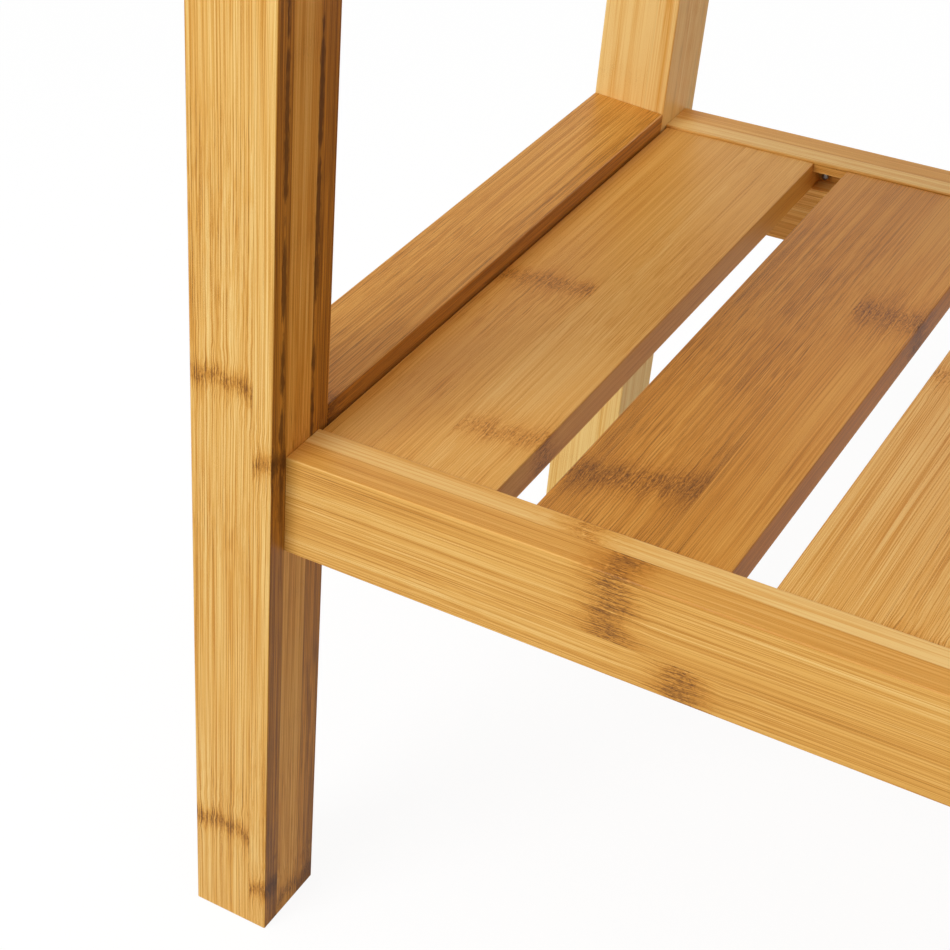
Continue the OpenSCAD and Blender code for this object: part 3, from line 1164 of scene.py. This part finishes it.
@dataclass
class Fixings:
    """Sizes of the fastenings, and their places at the front left corner, off their CAD boxes."""

    plan: Plan
    head_height: float = 3.5 * MM
    bolt_reach: float = 60.0 * MM
    bolt_radius: float = 3.0 * MM
    dowel_length: float = 24.0 * MM
    board_dowel_pitch: float = 12.0 * MM
    slack: float = 0.05 * MM
    bolt_slack: float = 0.3 * MM
    room: float = 1.0 * MM

    def __post_init__(self) -> None:
        """Reads the radii and the nut's length."""
        self.head_radius = half_height("shelf_rail_bolts")
        self.nut_radius = half_height("shelf_barrel_nuts")
        self.dowel_radius = half_height("shelf_rail_dowels")
        self.nut_length = 2 * (self.plan.rail_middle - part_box("shelf_barrel_nuts")[0].y)

    def seat(self, tier: Tier) -> Triple:
        """Where a bolt's head meets its seat."""
        x, z = leftmost(f"{tier.value}_rail_bolts")
        return x + self.head_height, self.plan.rail_middle, z

    def nut(self, tier: Tier) -> Triple:
        """Middle of a barrel nut, on its bolt's line."""
        x, _ = leftmost(f"{tier.value}_barrel_nuts")
        return x + self.nut_radius, *self.seat(tier)[1:]

    def rail_dowel(self, tier: Tier) -> Triple:
        """Middle of the dowel between a leg and a rail."""
        x, z = leftmost(f"{tier.value}_rail_dowels")
        return x + self.dowel_length / 2, self.plan.rail_middle, z

    def board_dowels(self, tier: Tier) -> list[Triple]:
        """Middles of the two dowels between a leg and an end board."""
        x, z = leftmost(f"{tier.value}_board_dowels")
        steps = (self.dowel_radius, self.dowel_radius + self.board_dowel_pitch)
        return [(x + step, self.plan.leg_rear, z) for step in steps]

    def dowel_hole(self, middle: Triple, axis: Axis) -> Surface:
        """Makes the cutter for a dowel, with room past both its ends.

        Args:
            middle: The dowel's middle.
            axis: Where it runs.

        Returns:
            The cutter.
        """
        length = self.dowel_length + 2 * self.room
        start = np.array(middle)
        start[axis.value] -= length / 2
        return placed(rod(length, self.dowel_radius + self.slack), start, axis)

    def board_dowel_holes(self, tier: Tier) -> list[Surface]:
        """Cutters for the dowels at the front end of a left end board."""
        return [self.dowel_hole(middle, Axis.Y) for middle in self.board_dowels(tier)]

    def leg_holes(self) -> list[Surface]:
        """Cutters for the front left leg: counterbored bolt holes, and the blind dowel holes."""
        clear = 1.02
        before = self.plan.foot_outer * clear
        bore = self.head_radius + self.bolt_slack
        shank = self.bolt_radius + self.bolt_slack
        cutters = []
        for tier in Tier:
            seat, *line = self.seat(tier)
            step = seat + before
            profile = [(0, bore), (step, bore), (step, shank), (step + self.bolt_reach, shank)]
            cutters.append(placed(turned(profile), (-before, *line), Axis.X))
            cutters.append(self.dowel_hole(self.rail_dowel(tier), Axis.X))
            cutters += self.board_dowel_holes(tier)
        return cutters

    def rail_holes(self, tier: Tier) -> list[Surface]:
        """Makes the cutters for both ends of a front rail: for bolt, barrel nut and dowel.

        Args:
            tier: The rail's tier.

        Returns:
            The cutters.
        """
        bolt = rod(self.bolt_reach + self.room, self.bolt_radius + self.bolt_slack)
        x, middle, height = self.nut(tier)
        front = middle - self.nut_length / 2
        nut = rod(self.plan.rail_rear + self.room - front, self.nut_radius + self.slack, 40)
        left = [
            placed(bolt, self.seat(tier), Axis.X),
            placed(nut, (x, front, height), Axis.Y),
            self.dowel_hole(self.rail_dowel(tier), Axis.X),
        ]
        return left + [cutter.mirrored(Axis.X) for cutter in left]


# Timber ----------------------------------------------------------------------------------------


@dataclass
class Board:
    """One piece of timber: its shape, its holes, its grain and its figure."""

    node: str
    shape: Surface
    holes: Sequence[Surface]
    grain: GrainFrame
    figure: Figure

    def mirrored(self, axis: Axis, node: str, figure: Figure) -> "Board":
        """Returns the board's mirror image, with its own name and figure."""
        holes = [hole.mirrored(axis) for hole in self.holes]
        return Board(node, self.shape.mirrored(axis), holes, self.grain.mirrored(axis), figure)

    def build(self, finish: Material, slot: str) -> None:
        """Makes the board's object, drills it, stores its grain on it and dresses it.

        Args:
            finish: The material.
            slot: Not used.
        """
        thing = to_object(f"{self.node}_bamboo", self.shape)
        if self.holes:
            drill(thing, self.holes)
        self.grain.store(thing.data)
        self.figure.store(thing.data)
        dress(thing, finish, self.node, 40.0)


@dataclass
class Legs:
    """Four legs, leaning in along the bench as they rise, cut level at the floor and the seat."""

    plan: Plan
    fixings: Fixings
    arris: float = 0.5 * MM
    rim: float = 0.6 * MM
    # The side faces' dark layer tones are partly the layers' own colour and partly painted shade on the
    # legs' inner faces.
    figure: Figure = Figure(
        seam=23.0, layer=12.5, lead=5.0, tones=(0.8, 0.78), layer_tones_and_side_shade=(-0.98, -0.32, -0.86),
        knuckles=(240.0, 215.0), slants=(0.09, 0.0), spacing=193.0, reach=4.5, skin=0.8,
        skin_from=200.0, seed=224.0,
    )

    def shape(self) -> Surface:
        """Carries a rounded section up from the floor, then leans it by its height times the lean."""
        plan = self.plan
        corners = rectangle(-plan.foot_outer, plan.leg_front, -plan.foot_inner, plan.leg_rear)
        leg = carried(Outline(corners, self.arris), level(0.0), level(plan.seat_top), self.rim)
        leg.points[:, 0] += leg.points[:, 2] * plan.lean
        return leg

    def build(self, finishes: Finishes) -> None:
        """Builds the front left leg and mirrors it to the other corners.

        Args:
            finishes: The bench's finishes.
        """
        plan = self.plan
        sine, cosine = math.sin(plan.splay), math.cos(plan.splay)
        grain = GrainFrame(
            origin=(-plan.foot_outer, plan.leg_front, 0.0), along=(sine, 0.0, cosine),
            across=(cosine, 0.0, -sine), into=(0.0, 1.0, 0.0), width=plan.leg_width,
            depth=plan.leg_rear - plan.leg_front,
        )
        cleaner = replace(self.figure, skin=self.figure.skin / 3)
        # The back left leg is paler all over, with side faces not darkened: painted light for the light and
        # sheen it shows, which the lamps don't give it. Its knuckles and lines differ too.
        back_leg_painted_light = replace(
            self.figure, tones=(0.95, 0.9), layer_tones_and_side_shade=(0.0, 0.1, 0.0), knuckles=(215.0, 190.0),
            lined=0.45, skin=0.1, seed=7.0,
        )
        front = Board("leg_front_left", self.shape(), self.fixings.leg_holes(), grain, self.figure)
        back = front.mirrored(Axis.Y, "leg_back_left", back_leg_painted_light)
        front_right = front.mirrored(Axis.X, "leg_front_right", cleaner.varied(2))
        back_right = back.mirrored(Axis.X, "leg_back_right", cleaner.varied(3))
        for board in (front, front_right, back, back_right):
            board.build(finishes.leg, "leg")


@dataclass
class Rails:
    """Four long rails, their ends cut to the legs' lean, each with a groove along its inner face."""

    plan: Plan
    fixings: Fixings
    groove_depth: float = 8.5 * MM
    groove_height: float = 7.2 * MM
    arris: float = 0.6 * MM
    groove_arris: float = 0.25 * MM
    end_rim: float = 0.3 * MM
    figure: Figure = Figure(
        seam=24.0, layer=9.9, tones=(0.52, 0.48), layer_tones_and_side_shade=(-0.04, 0.4, 0.4),
        knuckles=(-221.0, -202.0), slants=(-0.1, 0.1), reach=8.5, seed=11.0,
    )

    def shape(self, tier: Tier) -> Surface:
        """Carries the grooved section from one leg's leaning inner face to the other's.

        Args:
            tier: The rail's tier.

        Returns:
            The front rail, undrilled.
        """
        plan = self.plan
        top = plan.top(tier)
        bottom = top - plan.rail_height
        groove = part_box(f"{tier.value}_slat_1")[0].z
        ceiling = groove + self.groove_height
        floor = plan.rail_rear - self.groove_depth
        section = Outline(
            [
                (plan.rail_front, bottom), (plan.rail_rear, bottom), (plan.rail_rear, groove),
                (floor, groove), (floor, ceiling), (plan.rail_rear, ceiling), (plan.rail_rear, top),
                (plan.rail_front, top),
            ],
            [self.arris] * 2 + [self.groove_arris] * 4 + [self.arris] * 2,
        )
        rail = carried(section, lambda y, z: -plan.inner(z), lambda y, z: plan.inner(z), self.end_rim)
        return rail.reordered(2, 0, 1)

    def build(self, finishes: Finishes, brads: dict[Tier, "BradRow"]) -> None:
        """Builds each tier's front rail and mirrors it to the back.

        Args:
            finishes: The bench's finishes.
            brads: The brads' places, for their holes.
        """
        plan = self.plan
        for number, tier in enumerate(Tier):
            grain = GrainFrame(
                origin=(0.0, plan.rail_front, plan.top(tier)), along=(1.0, 0.0, 0.0),
                across=(0.0, 0.0, -1.0), into=(0.0, 1.0, 0.0), width=plan.rail_height,
                depth=plan.rail_rear - plan.rail_front,
            )
            holes = [*self.fixings.rail_holes(tier), brads[tier].holes()]
            figure = self.figure if tier is Tier.SHELF else self.figure.varied(20)
            front = Board(f"{tier.value}_rail_front", self.shape(tier), holes, grain, figure)
            back = front.mirrored(Axis.Y, f"{tier.value}_rail_back", self.figure.varied(21 + number))
            for board in (front, back):
                board.build(finishes.rail, "rail")


@dataclass
class EndBoards:
    """The boards between the front and back legs: square to the legs at the shelf, level at the seat."""

    plan: Plan
    fixings: Fixings
    arris: float = 0.6 * MM
    end_rim: float = 0.3 * MM
    # The even dark layer tones are painted shade on the end boards' side faces, which face the gaps.
    figure: Figure = Figure(
        seam=21.0, layer=9.7, tones=(0.38, 0.4), layer_tones_and_side_shade=(-0.42, -0.42, -0.42),
        knuckles=(150.0, 170.0), reach=6.0, seed=31.0,
    )

    def build(self, finishes: Finishes) -> None:
        """Builds both tiers' left boards and mirrors them to the right.

        A section's corners lie half its width and half its thickness either way from its middle,
        along its own two directions. The seat's ends are cut to the legs' lean, so that its corners
        move by the lean times their height above the middle.

        Args:
            finishes: The bench's finishes.
        """
        plan = self.plan
        width, splay = plan.leg_width, plan.splay
        thickness = 2 * half_height("seat_end_board_left")
        sections = {Tier.SHELF: (width, splay, 0.0), Tier.SEAT: (plan.leg_level, 0.0, plan.lean)}
        for number, (tier, (over, turn, slope)) in enumerate(sections.items()):
            node = f"{tier.value}_end_board"
            low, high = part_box(f"{node}_left")
            across = np.array([math.cos(turn), -math.sin(turn)])
            up = np.array([math.sin(turn) + slope, math.cos(turn)])
            half_over, half_up = across * over / 2, up * thickness / 2
            middle = np.array([low.x + high.x, low.z + high.z]) / 2
            corners = [middle + a * half_over + b * half_up for a, b in rectangle(-1, -1, 1, 1)]
            front, back = level(plan.leg_rear), level(-plan.leg_rear)
            bar = carried(Outline(corners, self.arris), front, back, self.end_rim)
            grain = GrainFrame(
                origin=(corners[3][0], 0.0, corners[3][1]), along=(0.0, 1.0, 0.0),
                across=(math.cos(turn), 0.0, -math.sin(turn)),
                into=(-math.sin(turn), 0.0, -math.cos(turn)), width=width, depth=thickness,
            )
            holes = self.fixings.board_dowel_holes(tier)
            holes += [hole.mirrored(Axis.Y) for hole in holes]
            figure = self.figure if tier is Tier.SHELF else self.figure.varied(40)
            left = Board(f"{node}_left", bar.reordered(0, 2, 1), holes, grain, figure)
            right = left.mirrored(Axis.X, f"{node}_right", self.figure.varied(41 + number))
            for board in (left, right):
                board.build(finishes.end_board, "end_board")


@dataclass
class Slats:
    """Both tiers' slats, each with a bare-faced tongue at either end, flush with its underside."""

    plan: Plan
    tongue: float = 7.0 * MM
    shoulder_gap: float = 0.2 * MM
    long_arris: float = 0.6 * MM
    shoulder_arris: float = 0.4 * MM
    tongue_arris: float = 0.3 * MM
    # The even dark layer tones are painted shade on the slats' side faces, down in the gaps.
    figure: Figure = Figure(
        seam=34.0, layer=14.0, tones=(0.5, 0.52), layer_tones_and_side_shade=(-0.3, -0.3, -0.3),
        knuckles=(-9.0, -98.0), reach=7.0, seed=50.0,
    )

    def known(self) -> dict[str, Figure]:
        """Figures of the shelf's three left-hand slats."""
        first = dict(tones=(0.5, 0.54), lined=0.8, seed=51.0)
        second = dict(seam=39.0, tones=(0.18, 0.26), knuckles=(-100.5, 29.0), slants=(0.28, 0.01))
        second |= dict(reach=9.5, seed=52.0)
        third = dict(seam=30.0, tones=(0.82, 0.78), knuckles=(5.0, 160.0), lined=1.9, seed=53.0)
        traits = enumerate((first, second, third), start=1)
        return {f"shelf_slat_{number}": replace(self.figure, **own) for number, own in traits}

    def build(self, finishes: Finishes) -> None:
        """Builds a slat in every slat node's place.

        Args:
            finishes: The bench's finishes.
        """
        known = self.known()
        for draws, tier in zip((100, 200), Tier):
            for node in sorted(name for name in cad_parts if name.startswith(f"{tier.value}_slat_")):
                number = int(node.rsplit("_", 1)[1])
                figure = known.get(node) or self.figure.varied(draws + number, 0.16)
                self.slat(node, figure).build(finishes.slat, "slat")

    def slat(self, node: str, figure: Figure) -> Board:
        """Carries a slat's section, which steps in to a tongue at either end, across its width.

        Args:
            node: The slat's CAD node.
            figure: Its figure.

        Returns:
            The slat.
        """
        low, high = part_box(node)
        step = low.z + self.tongue
        shoulder = -self.plan.rail_rear - self.shoulder_gap
        section = Outline(
            [
                (low.y, low.z), (high.y, low.z), (high.y, step), (shoulder, step),
                (shoulder, high.z), (-shoulder, high.z), (-shoulder, step), (low.y, step),
            ],
            [self.tongue_arris] * 4 + [self.shoulder_arris] * 2 + [self.tongue_arris] * 2,
        )
        bar = carried(section, level(low.x), level(high.x), self.long_arris)
        grain = GrainFrame(
            origin=(low.x, 0.0, high.z), along=(0.0, 1.0, 0.0), across=(1.0, 0.0, 0.0),
            into=(0.0, 0.0, -1.0), width=high.x - low.x, depth=high.z - low.z,
        )
        return Board(node, bar.reordered(2, 0, 1), [], grain, figure)


# Fastenings ------------------------------------------------------------------------------------


def fasten(node: str, surface: Surface, finish: Material, stuff: str = "steel",
           holes: Sequence[Surface] = ()) -> None:
    """Makes a row of fastenings and dresses it.

    Args:
        node: The CAD node that it stands for.
        surface: The whole row.
        finish: Its material.
        stuff: The end of the piece's name.
        holes: Cutters for the whole row.
    """
    thing = to_object(f"{node}_{stuff}", surface)
    if holes:
        drill(thing, holes)
    dress(thing, finish, node, 32.0)


@dataclass
class RailBolts:
    """Bolts that hold the rails' ends to the legs, with a wide flat head and a hexagonal key socket."""

    fixings: Fixings
    socket_half: float = 2.0 * MM
    socket_depth: float = 2.4 * MM
    mouth_ease: float = 0.25 * MM
    head_rim: float = 0.7 * MM
    under_ease: float = 0.3 * MM
    plain_shank: float = 24.0 * MM
    thread_pitch: float = 1.0 * MM
    thread_depth: float = 0.5 * MM

    def bolt(self) -> Surface:
        """Turns a bolt: up out of the six-sided socket, over the round head and down the shank."""
        head, radius = self.fixings.head_height, self.fixings.head_radius
        shank, reach = self.fixings.bolt_radius, self.fixings.bolt_reach
        mouth = self.socket_half + self.mouth_ease
        core = shank - self.thread_depth - 0.02 * MM
        start = head + self.plain_shank
        profile = [
            (self.socket_depth, self.socket_half, 1.0),
            (0.3 * MM, self.socket_half, 1.0),
            (0.05 * MM, mouth, 1.0),
            (0.0, mouth + 0.5 * MM),
            (0.0, radius - self.head_rim),
            *((along, radius - inset) for along, inset in quarter(self.head_rim)[1:]),
            (head - self.under_ease, radius),
            (head, radius - self.under_ease),
            (head, shank),
            (start, shank),
            (start + self.thread_depth, core),
            (head + reach - 1 * MM, core),
        ]
        thread = threaded(reach - self.plain_shank, shank, self.thread_pitch, self.thread_depth)
        return turned(profile, 48, six_sided).joined(placed(thread, (start, 0.0, 0.0), Axis.X))

    def build(self, finishes: Finishes) -> None:
        """Builds each tier's four bolts.

        Args:
            finishes: The bench's finishes.
        """
        for tier in Tier:
            x, *line = self.fixings.seat(tier)
            bolt = placed(self.bolt(), (x - self.fixings.head_height, *line), Axis.X)
            fasten(f"{tier.value}_rail_bolts", at_corners(bolt), finishes.steel)


@dataclass
class BarrelNuts:
    """Cross-drilled barrel nuts in the rails, with a slot across the end that can be reached."""

    fixings: Fixings
    ease: float = 0.6 * MM
    slot_width: float = 1.2 * MM
    slot_depth: float = 1.2 * MM
    slot_arris: float = 0.15 * MM
    slot_rim: float = 0.05 * MM

    def bar(self) -> Surface:
        """Turns a bar whose rims are quarter circles."""
        length, radius = self.fixings.nut_length, self.fixings.nut_radius
        near = [(along, radius - inset) for along, inset in quarter(self.ease)]
        return turned(near + [(length - along, reach) for along, reach in near[::-1]], 48)

    def build(self, finishes: Finishes) -> None:
        """Builds each tier's four nuts, drilled across and slotted.

        Args:
            finishes: The bench's finishes.
        """
        fixed = self.fixings
        half, reach = self.slot_width / 2, 2 * fixed.nut_radius
        shank = fixed.bolt_radius + fixed.slack
        for tier in Tier:
            x, middle, z = fixed.nut(tier)
            front, rear = middle - fixed.nut_length / 2, middle + fixed.nut_length / 2
            bore = placed(turned([(-reach, shank), (reach, shank)], 32), (x, middle, z), Axis.X)
            corners = rectangle(rear - self.slot_depth, z - half, rear + self.slot_depth, z + half)
            section = Outline(corners, self.slot_arris)
            slot = carried(section, level(x - reach), level(x + reach), self.slot_rim, 1).reordered(2, 0, 1)
            nuts = at_corners(placed(self.bar(), (x, front, z), Axis.Y))
            holes = [at_corners(bore), at_corners(slot)]
            fasten(f"{tier.value}_barrel_nuts", nuts, finishes.steel, holes=holes)


@dataclass
class Dowels:
    """Fluted dowels with eased ends, in the rails' ends and the end boards' ends."""

    fixings: Fixings
    ease: float = 0.8 * MM
    sides: int = 72
    half_fluted: float = 0.3

    def bar(self) -> Surface:
        """Turns one fluted dowel along X, centred on its middle."""
        half, radius = self.fixings.dowel_length / 2, self.fixings.dowel_radius
        right = [
            (half - 2 * self.ease, radius, 1.0),
            (half - self.ease, radius, self.half_fluted),
            (half, radius - self.ease, 0.0),
        ]
        return turned([(-x, r, k) for x, r, k in right[::-1]] + right, self.sides)

    def build(self, finishes: Finishes) -> None:
        """Builds each tier's four rail dowels and eight end-board dowels.

        Args:
            finishes: The bench's finishes.
        """
        bar = self.bar()
        for tier in Tier:
            ways = (
                ("rail", [self.fixings.rail_dowel(tier)], Axis.X, finishes.dowel_x),
                ("board", self.fixings.board_dowels(tier), Axis.Y, finishes.dowel_y),
            )
            for joint, middles, axis, finish in ways:
                bars = reduce(Surface.joined, [placed(bar, middle, axis) for middle in middles])
                fasten(f"{tier.value}_{joint}_dowels", at_corners(bars), finish, "wood")


@dataclass
class BradRow:
    """Round-headed brads in a tier's grooves, one beside each gap, that stop the slats sliding."""

    tier: Tier
    offset: float = 3.1 * MM
    length: float = 10 * MM
    head_height: float = 1.0 * MM
    dome_height: float = 0.55 * MM
    point_length: float = 1.6 * MM
    shank_radius: float = 0.8 * MM
    slack: float = 0.05 * MM
    sides: int = 20

    @property
    def node(self) -> str:
        """Name of the brads' CAD node."""
        return f"{self.tier.value}_groove_brads"

    def row(self, profile: Sequence[Sequence[float]]) -> Surface:
        """Turns a brad beside every slat but the last, at its right edge plus the offset.

        Args:
            profile: (distance, radius) along the brad, from its point.

        Returns:
            The front groove's row.
        """
        bar = turned(profile, self.sides)
        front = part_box(self.node)[0].y
        height = leftmost(self.node)[1]
        slat = f"{self.tier.value}_slat_"
        count = sum(name.startswith(slat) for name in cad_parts)
        places = [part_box(f"{slat}{number}")[1].x + self.offset for number in range(1, count)]
        return reduce(Surface.joined, [placed(bar, (x, front, height), Axis.Y) for x in places])

    def holes(self) -> Surface:
        """Cutter for the brads' holes in a front rail, as one surface."""
        radius = self.shank_radius + self.slack
        return self.row([(0, radius), (self.length - self.head_height, radius)])

    def build(self, finishes: Finishes) -> None:
        """Builds the row, point first: a drawn point, the shank, and a low domed head.

        Args:
            finishes: The bench's finishes.
        """
        head = half_height(self.node)
        under, dome = self.length - self.head_height, self.length - self.dome_height
        rise = np.linspace(0, math.pi / 2, 5)[1:-1]
        profile = [
            (0.0, 0.1 * MM),
            (self.point_length, self.shank_radius),
            (under, self.shank_radius),
            (under + 0.05 * MM, head - 0.1 * MM),
            (under + 0.15 * MM, head),
            (dome, head),
            *((dome + self.dome_height * math.sin(a), head * math.cos(a)) for a in rise),
            (self.length, 0.12 * head),
        ]
        fasten(self.node, at_rows(self.row(profile)), finishes.brad)


# Studio ----------------------------------------------------------------------------------------


@dataclass
class Studio:
    """A pale floor, a white surround, soft lights and the camera."""

    floor_half: float = 7.0
    floor_sink: float = 0.05 * MM
    floor_paint: tuple[float, ...] = (0.76, 0.76, 0.755, 1.0)
    floor_glow: float = 1.06
    floor_shown: float = 0.86
    floor_mirrored: float = 0.3
    surround: float = 0.36
    surround_seen: float = 1.02
    aim: Triple = (-0.1, 0.0, 0.22)
    camera_place: Triple = (-0.0392, -0.5225, 0.5554)
    camera_turn: float = 32.01
    camera_tilt: float = 56.03
    camera_roll: float = -0.95
    lens: float = 74.5
    shift: tuple[float, float] = (0.0443, -0.0790)

    def build(self) -> None:
        """Sets the stage, then the lights and the camera."""
        bpy.context.scene.view_settings.view_transform = "Standard"
        self.floor()
        self.world()
        self.light("key", (-1.05, -2.3, 1.8), 1.4, 41.0)
        self.light("overhead", (-0.2, -0.6, 2.6), 2.0, 18.0)
        self.light("fill_back", (0.9, 2.6, 1.8), 2.0, 18.0)
        self.camera()

    def floor(self) -> None:
        """Lays the floor, which glows where it is seen so that it stays near white."""
        made = bpy.data.materials.new("studio_floor_paint")
        sheet = cleared(made)
        paint = sheet.wire("BsdfDiffuse", {"Color": self.floor_paint})
        glow = sheet.wire("Emission", {"Color": (1.0, 1.0, 1.0, 1.0), "Strength": self.floor_glow})
        shown = self.seen(sheet, self.floor_mirrored) * self.floor_shown
        sheet.node("OutputMaterial", {"Surface": sheet.wire("MixShader", {0: shown, 1: paint, 2: glow})})
        half = self.floor_half
        corners = [(x, y, -self.floor_sink) for x, y in rectangle(-half, -half, half, half)]
        mesh = bpy.data.meshes.new("studio_floor")
        mesh.from_pydata(corners, [], [range(4)])
        mesh.materials.append(made)
        linked("studio_floor", mesh)

    def world(self) -> None:
        """Surrounds the bench with white: pure where it is seen, and softer as a light."""
        world = bpy.data.worlds.new("studio_surround")
        bpy.context.scene.world = world
        sheet = cleared(world)
        strength = self.seen(sheet, 1.0) * (self.surround_seen - self.surround) + self.surround
        glow = sheet.wire("Background", {"Color": (1.0, 1.0, 1.0, 1.0), "Strength": strength})
        sheet.node("OutputWorld", {"Surface": glow})

    def seen(self, sheet: Sheet, mirrored: float) -> Wire:
        """Tells where the surround is looked at from where it only lights the bench.

        Args:
            sheet: The surround's own material.
            mirrored: The value where a finish mirrors it.

        Returns:
            1 to the camera, `mirrored` in a reflection, and 0 for the rest.
        """
        path = sheet.node("LightPath", {}).outputs
        return Wire(sheet, path["Is Camera Ray"]).most(Wire(sheet, path["Is Glossy Ray"]) * mirrored)

    def light(self, name: str, place: Triple, size: float, watts: float) -> None:
        """Hangs a square soft light that faces the middle of the bench.

        Args:
            name: Its name.
            place: Where it hangs.
            size: Its side.
            watts: Its power.
        """
        lamp = bpy.data.lights.new(name, "AREA")
        lamp.size = size
        lamp.energy = watts
        thing = linked(name, lamp)
        thing.location = place
        thing.rotation_euler = (Vector(self.aim) - Vector(place)).to_track_quat("-Z", "Y").to_euler()
        thing.visible_camera = False

    def camera(self) -> None:
        """Sets the camera: turned about Z, tilted up from straight down, and rolled."""
        lens = bpy.data.cameras.new("camera")
        lens.lens = self.lens
        lens.sensor_width = 36.0
        lens.shift_x, lens.shift_y = self.shift
        lens.clip_start = 0.01
        lens.clip_end = 50.0
        turns = ((self.camera_turn, "Z"), (self.camera_tilt, "X"), (self.camera_roll, "Z"))
        place = Matrix.Translation(self.camera_place)
        for degrees, axis in turns:
            place = place @ Matrix.Rotation(math.radians(degrees), 4, axis)
        thing = linked("camera", lens)
        thing.matrix_world = place
        bpy.context.scene.camera = thing


def main() -> None:
    """Builds the bench, class by class, and then the studio."""
    logging.basicConfig(level=logging.INFO, format="%(name)s: %(message)s")
    plan = Plan.measured()
    fixings = Fixings(plan)
    finishes = Finishes()
    brads = {tier: BradRow(tier) for tier in Tier}
    Legs(plan, fixings).build(finishes)
    Rails(plan, fixings).build(finishes, brads)
    EndBoards(plan, fixings).build(finishes)
    Slats(plan).build(finishes)
    for fastenings in (RailBolts(fixings), BarrelNuts(fixings), Dowels(fixings), *brads.values()):
        fastenings.build(finishes)
    Studio().build()


if __name__ == "__main__":
    main()
